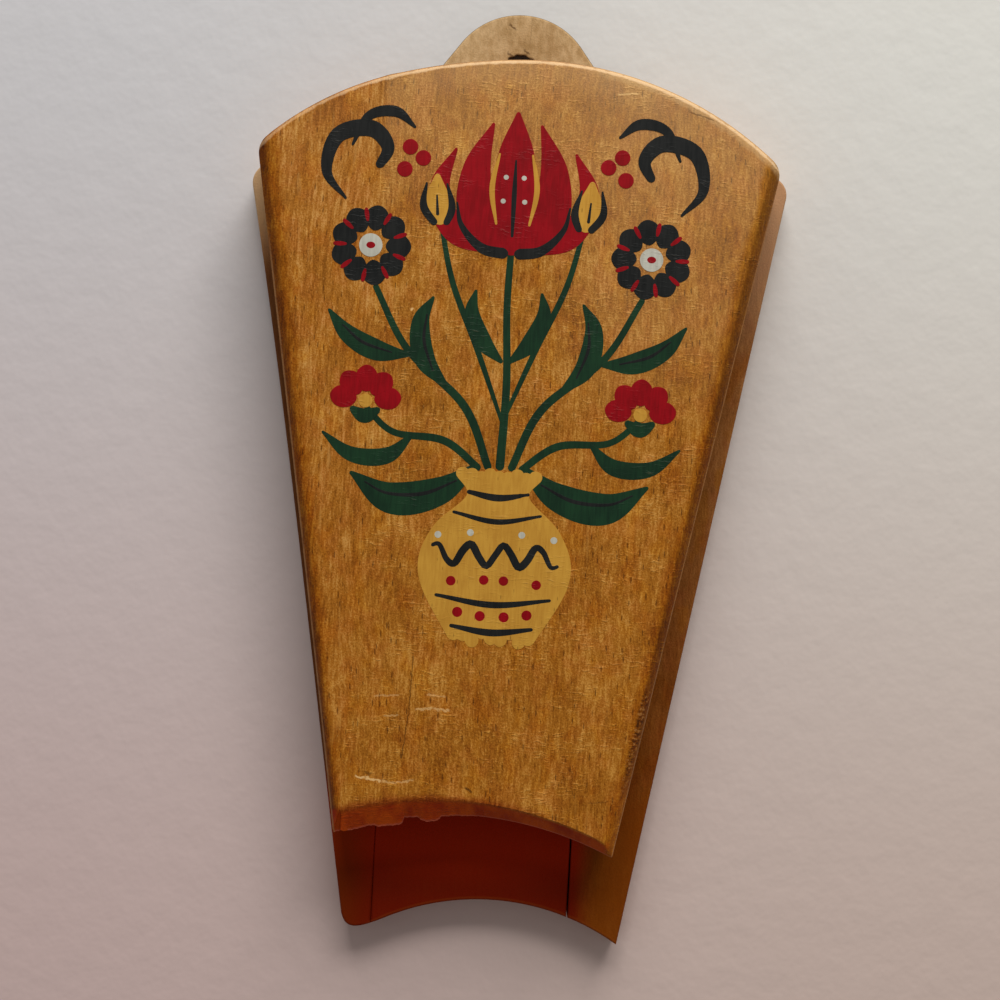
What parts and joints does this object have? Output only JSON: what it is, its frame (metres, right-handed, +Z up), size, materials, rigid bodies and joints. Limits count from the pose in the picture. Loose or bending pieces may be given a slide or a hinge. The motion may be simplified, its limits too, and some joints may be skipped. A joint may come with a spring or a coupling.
{
  "type": "wall knife holder",
  "caption": "Wall knife holder of lacquered beech: a fan-shaped front board on a wider back board with a hanging tab, and tapered knife slots between them.",
  "frame": {"origin": "centre of the hanging hole, on the wall plane (the back face of the back board)", "axes": "+X to the right seen from the front, +Y into the wall, +Z up"},
  "size_m": [0.1856, 0.036, 0.3209],
  "materials": {
    "front_wood": "beech, amber lacquer, satin gloss",
    "front_left_wood": "beech, amber lacquer, satin gloss, straighter grain",
    "back_wood": "beech, thin amber lacquer, worn pale at the tab",
    "batten_wood": "beech, bare, planed",
    "screw_steel": "dull zinc-grey steel",
    "paint": "hand-brushed enamel paint in red, black, green, ochre and off-white"
  },
  "bodies": {
    "root": {"front_stave_left": "front_left_wood", "front_stave_right": "front_wood", "back_stave_left": "back_wood", "back_stave_middle": "back_wood", "back_stave_right": "back_wood", "side_rail_left": "batten_wood", "side_rail_right": "batten_wood", "divider_1": "batten_wood", "divider_2": "batten_wood", "divider_3": "batten_wood", "divider_4": "batten_wood", "screw_1": "screw_steel", "screw_2": "screw_steel", "screw_3": "screw_steel", "screw_4": "screw_steel", "screw_5": "screw_steel", "screw_6": "screw_steel"}
  },
  "joints": []
}
